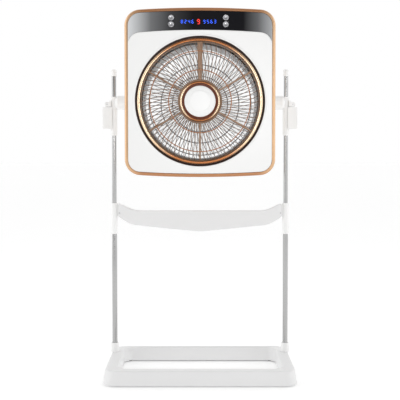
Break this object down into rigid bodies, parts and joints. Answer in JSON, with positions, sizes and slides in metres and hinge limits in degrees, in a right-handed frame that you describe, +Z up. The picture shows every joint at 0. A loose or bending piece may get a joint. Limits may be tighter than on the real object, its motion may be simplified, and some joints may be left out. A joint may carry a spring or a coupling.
{
  "type": "box fan",
  "caption": "Box-shaped fan head with a turning louvre wheel, sliding and tilting between two posts on a ring base.",
  "frame": {"origin": "middle of the footprint, on the floor that the feet rest on", "axes": "+Z up, the front of the fan faces -Y, +X to the right seen from the front"},
  "size_m": [0.532, 0.26, 0.972],
  "materials": {
    "white_plastic": "satin gloss moulded white ABS",
    "trim_copper": "satin metallic copper lacquer",
    "bezel_gold": "polished, pale gold plated",
    "vane_bronze": "satin metallic bronze lacquer",
    "black_gloss": "high gloss black acrylic",
    "dark_plastic": "fine matt black moulding",
    "guard_grey": "dark grey moulding",
    "button_silver": "satin chrome plated plastic",
    "tube_steel": "grey brushed steel",
    "fastener_steel": "zinc plated",
    "motor_alloy": "die cast",
    "core_steel": "stacked laminations",
    "winding_copper": "enamelled copper wire",
    "bush_bronze": "sintered bronze",
    "foot_rubber": "black rubber",
    "ballast_steel": "blackened steel plate",
    "board_green": "green solder mask",
    "washer_fibre": "friction fibre"
  },
  "bodies": {
    "stand": {"base_frame": "white_plastic", "base_plate": "ballast_steel", "rubber_feet": "foot_rubber", "stand_screws": "fastener_steel", "post_socket_left": "white_plastic", "post_socket_right": "white_plastic", "tube_inserts": "fastener_steel", "post_bolts": "fastener_steel", "lower_tube_left": "tube_steel", "lower_tube_right": "tube_steel", "coupling_left": "white_plastic", "coupling_right": "white_plastic", "cross_brace": "white_plastic", "upper_tube_left": "tube_steel", "upper_tube_right": "tube_steel", "tube_cap_left": "white_plastic", "tube_cap_right": "white_plastic"},
    "carriage": {"slide_sleeve_left": "white_plastic", "slide_sleeve_right": "white_plastic", "pivot_hub_left": "white_plastic", "pivot_hub_right": "white_plastic", "pivot_bolts": "fastener_steel", "pivot_nuts": "fastener_steel", "friction_washers": "washer_fibre", "clamp_shoes": "washer_fibre", "lever_pins": "fastener_steel"},
    "left_lever": {"lock_lever_left": "white_plastic"},
    "right_lever": {"lock_lever_right": "white_plastic"},
    "head": {"rear_shell": "white_plastic", "trim_band": "trim_copper", "front_panel": "white_plastic", "control_lens": "black_gloss", "shadow_ring": "dark_plastic", "bezel_ring": "bezel_gold", "display_module": "dark_plastic", "circuit_board": "board_green", "key_switches": "dark_plastic", "louvre_spider": "white_plastic", "louvre_motor": "motor_alloy", "duct_ring": "white_plastic", "rear_guard": "guard_grey", "motor_front_cover": "motor_alloy", "motor_rear_cover": "motor_alloy", "stator_core": "core_steel", "stator_windings": "winding_copper", "shaft_bushes": "bush_bronze", "run_capacitor": "dark_plastic", "housing_screws": "fastener_steel", "cord_inlet": "dark_plastic"},
    "rotor": {"rotor_core": "core_steel", "motor_shaft": "fastener_steel", "impeller": "white_plastic", "blade_nut": "dark_plastic"},
    "louvre": {"louvre_wheel": "vane_bronze", "louvre_hub_ring": "bezel_gold", "hub_cap": "white_plastic"},
    "timer_key": {"timer_button": "button_silver"},
    "speed_key": {"speed_button": "button_silver"},
    "louvre_key": {"louvre_button": "button_silver"},
    "power_key": {"power_button": "button_silver"}
  },
  "joints": [
    {"name": "height_slide", "type": "slide", "parent": "stand", "child": "carriage", "axis": [0, 0, 1], "range_m": [-0.075, 0.055]},
    {"name": "head_tilt", "type": "hinge", "parent": "carriage", "child": "head", "pos_m": [0, 0.065, 0.725], "axis": [-1, 0, 0], "range_deg": [-20, 90]},
    {"name": "fan_spin", "type": "hinge", "parent": "head", "child": "rotor", "pos_m": [0, 0.065, 0.725], "axis": [0, -1, 0], "continuous": true},
    {"name": "louvre_turn", "type": "hinge", "parent": "head", "child": "louvre", "pos_m": [0, 0.007, 0.725], "axis": [0, -1, 0], "continuous": true},
    {"name": "left_lever_swing", "type": "hinge", "parent": "carriage", "child": "left_lever", "pos_m": [-0.253, 0.065, 0.7205], "axis": [0, 1, 0], "range_deg": [0, 75]},
    {"name": "right_lever_swing", "type": "hinge", "parent": "carriage", "child": "right_lever", "pos_m": [0.253, 0.065, 0.7205], "axis": [0, -1, 0], "range_deg": [0, 75]},
    {"name": "timer_press", "type": "slide", "parent": "head", "child": "timer_key", "axis": [0, 1, 0], "range_m": [0, 0.0012], "stiffness_N_per_m": 900, "springref_m": -0.0004},
    {"name": "speed_press", "type": "slide", "parent": "head", "child": "speed_key", "axis": [0, 1, 0], "range_m": [0, 0.0012], "stiffness_N_per_m": 900, "springref_m": -0.0004},
    {"name": "louvre_press", "type": "slide", "parent": "head", "child": "louvre_key", "axis": [0, 1, 0], "range_m": [0, 0.0012], "stiffness_N_per_m": 900, "springref_m": -0.0004},
    {"name": "power_press", "type": "slide", "parent": "head", "child": "power_key", "axis": [0, 1, 0], "range_m": [0, 0.0012], "stiffness_N_per_m": 900, "springref_m": -0.0004}
  ]
}
